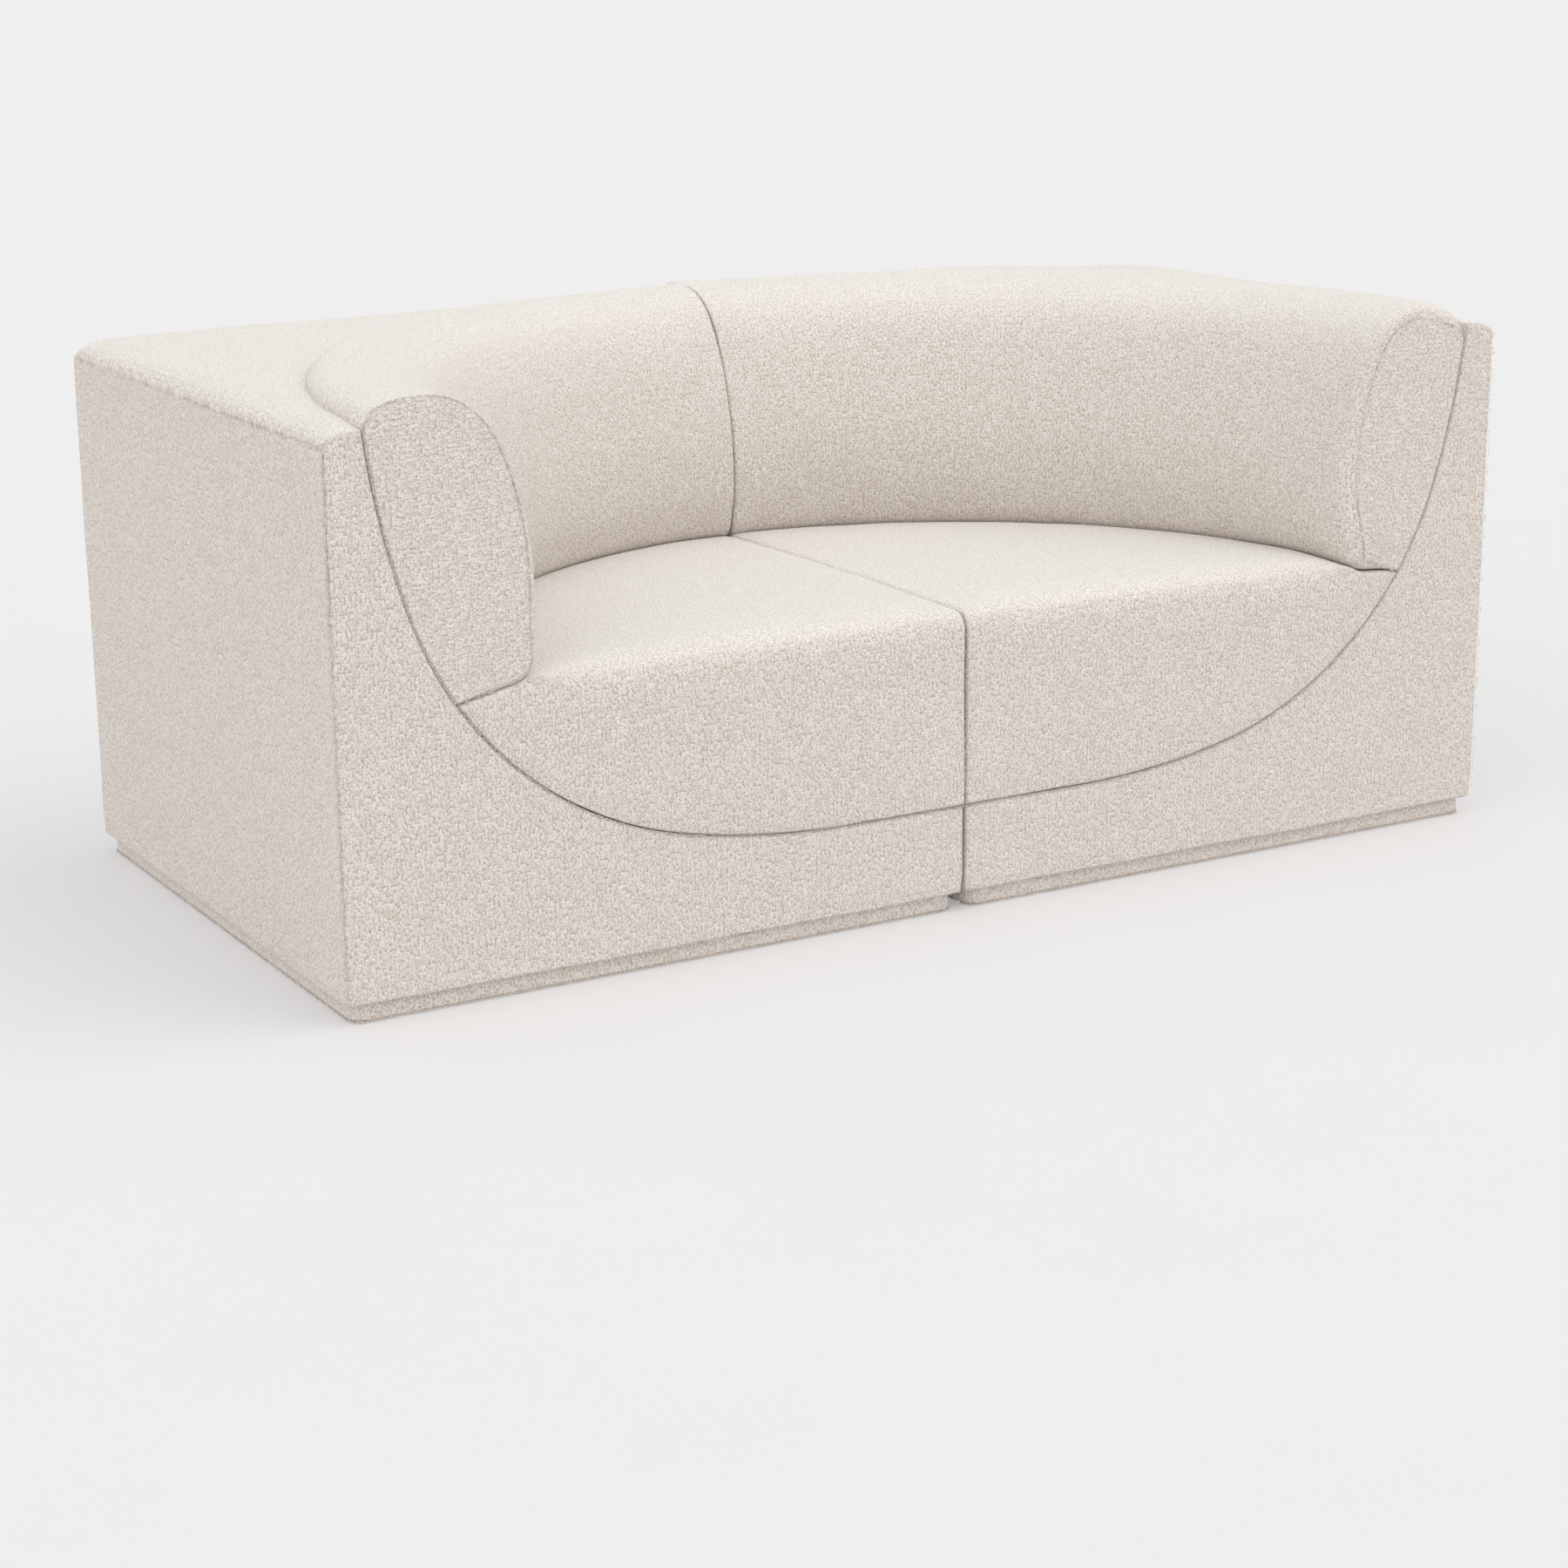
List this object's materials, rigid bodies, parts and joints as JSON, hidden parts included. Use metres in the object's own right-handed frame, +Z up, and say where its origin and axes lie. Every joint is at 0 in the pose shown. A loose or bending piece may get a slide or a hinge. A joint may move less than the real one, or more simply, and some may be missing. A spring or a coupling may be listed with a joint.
{
  "type": "modular sofa",
  "caption": "Low modular sofa of mirrored square corner modules in cream boucle, each with a bowl-shaped recess, curved back bolster, quarter-round seat and recessed plinth.",
  "frame": {"origin": "on the floor, at the middle of the footprint of the two joined modules", "axes": "+X to a viewer's right along the front, +Y to the back, +Z up; the front face is at the lowest Y"},
  "size_m": [1.728, 0.862, 0.738],
  "materials": {
    "boucle": "matte",
    "foam": "matte",
    "plywood": "matte",
    "timber": "matte",
    "lining": "matte",
    "webbing": "matte",
    "steel": "satin",
    "glide_plastic": "matte",
    "socket_plastic": "matte"
  },
  "bodies": {
    "left_module": {"left_base_board": "plywood", "left_outer_panel": "plywood", "left_back_panel": "plywood", "left_front_gable": "plywood", "left_joint_gable": "plywood", "left_top_deck": "plywood", "left_back_former": "plywood", "left_seat_deck": "plywood", "left_plinth_rails": "timber", "left_corner_post": "timber", "left_base_battens": "timber", "left_deck_rails": "timber", "left_front_cover": "boucle", "left_joint_cover": "boucle", "left_outer_cover": "boucle", "left_back_cover": "boucle", "left_top_cover": "boucle", "left_seat_cover": "boucle", "left_bolster_cover": "boucle", "left_plinth_cover": "boucle", "left_seat_core": "foam", "left_bolster_core": "foam", "left_foam_bed": "foam", "left_dust_cover": "lining", "left_seat_webbing": "webbing", "left_plinth_screws": "steel", "left_glides": "glide_plastic", "left_connector_tongues": "steel"},
    "right_module": {"right_base_board": "plywood", "right_outer_panel": "plywood", "right_back_panel": "plywood", "right_front_gable": "plywood", "right_joint_gable": "plywood", "right_top_deck": "plywood", "right_back_former": "plywood", "right_seat_deck": "plywood", "right_plinth_rails": "timber", "right_corner_post": "timber", "right_base_battens": "timber", "right_deck_rails": "timber", "right_front_cover": "boucle", "right_joint_cover": "boucle", "right_outer_cover": "boucle", "right_back_cover": "boucle", "right_top_cover": "boucle", "right_seat_cover": "boucle", "right_bolster_cover": "boucle", "right_plinth_cover": "boucle", "right_seat_core": "foam", "right_bolster_core": "foam", "right_foam_bed": "foam", "right_dust_cover": "lining", "right_seat_webbing": "webbing", "right_plinth_screws": "steel", "right_glides": "glide_plastic", "right_connector_sockets": "socket_plastic"}
  },
  "joints": [
    {"name": "module_parting", "type": "slide", "parent": "left_module", "child": "right_module", "axis": [1, 0, 0], "range_m": [0, 0.25]}
  ]
}
